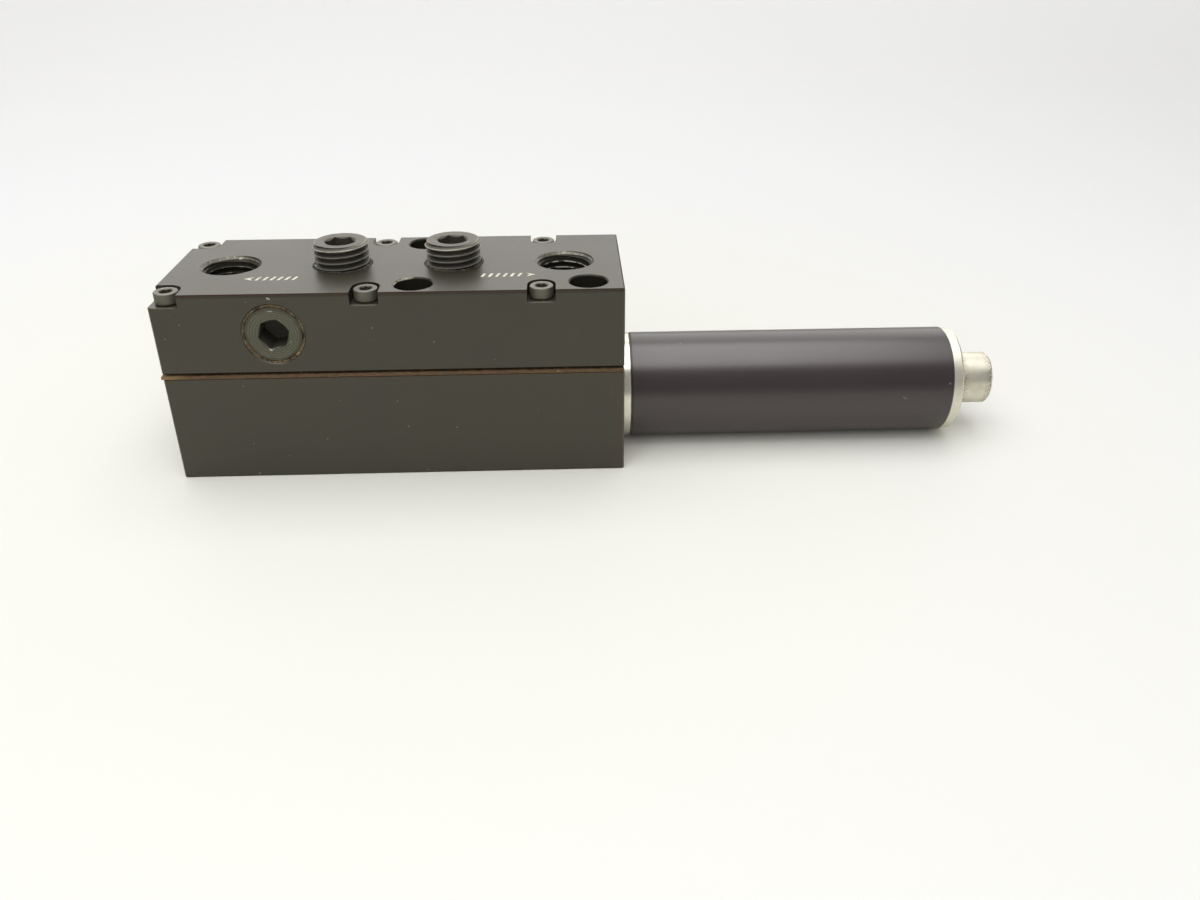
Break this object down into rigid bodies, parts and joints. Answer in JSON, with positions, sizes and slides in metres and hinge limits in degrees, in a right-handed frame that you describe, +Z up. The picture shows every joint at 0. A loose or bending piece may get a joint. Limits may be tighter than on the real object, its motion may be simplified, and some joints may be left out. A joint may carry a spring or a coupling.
{
  "type": "vacuum ejector",
  "caption": "Vacuum ejector: a split black block with tapped vacuum ports, socket plugs and cover screws, and a round exhaust silencer that ends in an outlet stub.",
  "frame": {"origin": "centre of the block's flat underside", "axes": "+X along the silencer, away from the air inlet; +Y to the back, away from the side with the front plug; +Z up, out of the face with the vacuum ports"},
  "size_m": [0.1988, 0.0404, 0.0515],
  "materials": {
    "anodised_block": "satin black anodised, thin worn edges",
    "fibre_gasket": "brown fibre sheet, cut edge",
    "valve_plate": "plain sheet",
    "plug_steel": "dark phosphated steel, rust at the front plug's rim",
    "screw_steel": "blackened steel worn grey",
    "nozzle_brass": "turned",
    "black_rubber": "matt",
    "bare_aluminium": "turned, lightly grimed",
    "anodised_tube": "satin black anodised with a purple cast",
    "core_steel": "perforated tube",
    "foam": "open-cell sound-absorbing foam"
  },
  "bodies": {
    "root": {"lower_block": "anodised_block", "gasket": "fibre_gasket", "upper_block": "anodised_block", "valve_plate": "valve_plate", "top_plug_left": "plug_steel", "top_plug_right": "plug_steel", "front_plug": "plug_steel", "supply_nozzle": "nozzle_brass", "second_nozzle": "nozzle_brass", "third_nozzle": "nozzle_brass", "diffuser_nozzle": "nozzle_brass", "silencer_front_cap": "bare_aluminium", "silencer_tube": "anodised_tube", "silencer_core": "core_steel", "silencer_foam": "foam", "silencer_end_cap": "bare_aluminium", "cover_screw_1": "screw_steel", "cover_screw_2": "screw_steel", "cover_screw_3": "screw_steel", "cover_screw_4": "screw_steel", "cover_screw_5": "screw_steel", "cover_screw_6": "screw_steel", "nozzle_seal_1": "black_rubber", "nozzle_seal_2": "black_rubber", "nozzle_seal_3": "black_rubber", "nozzle_seal_4": "black_rubber", "flap_valve_1": "black_rubber", "flap_valve_2": "black_rubber"}
  },
  "joints": []
}
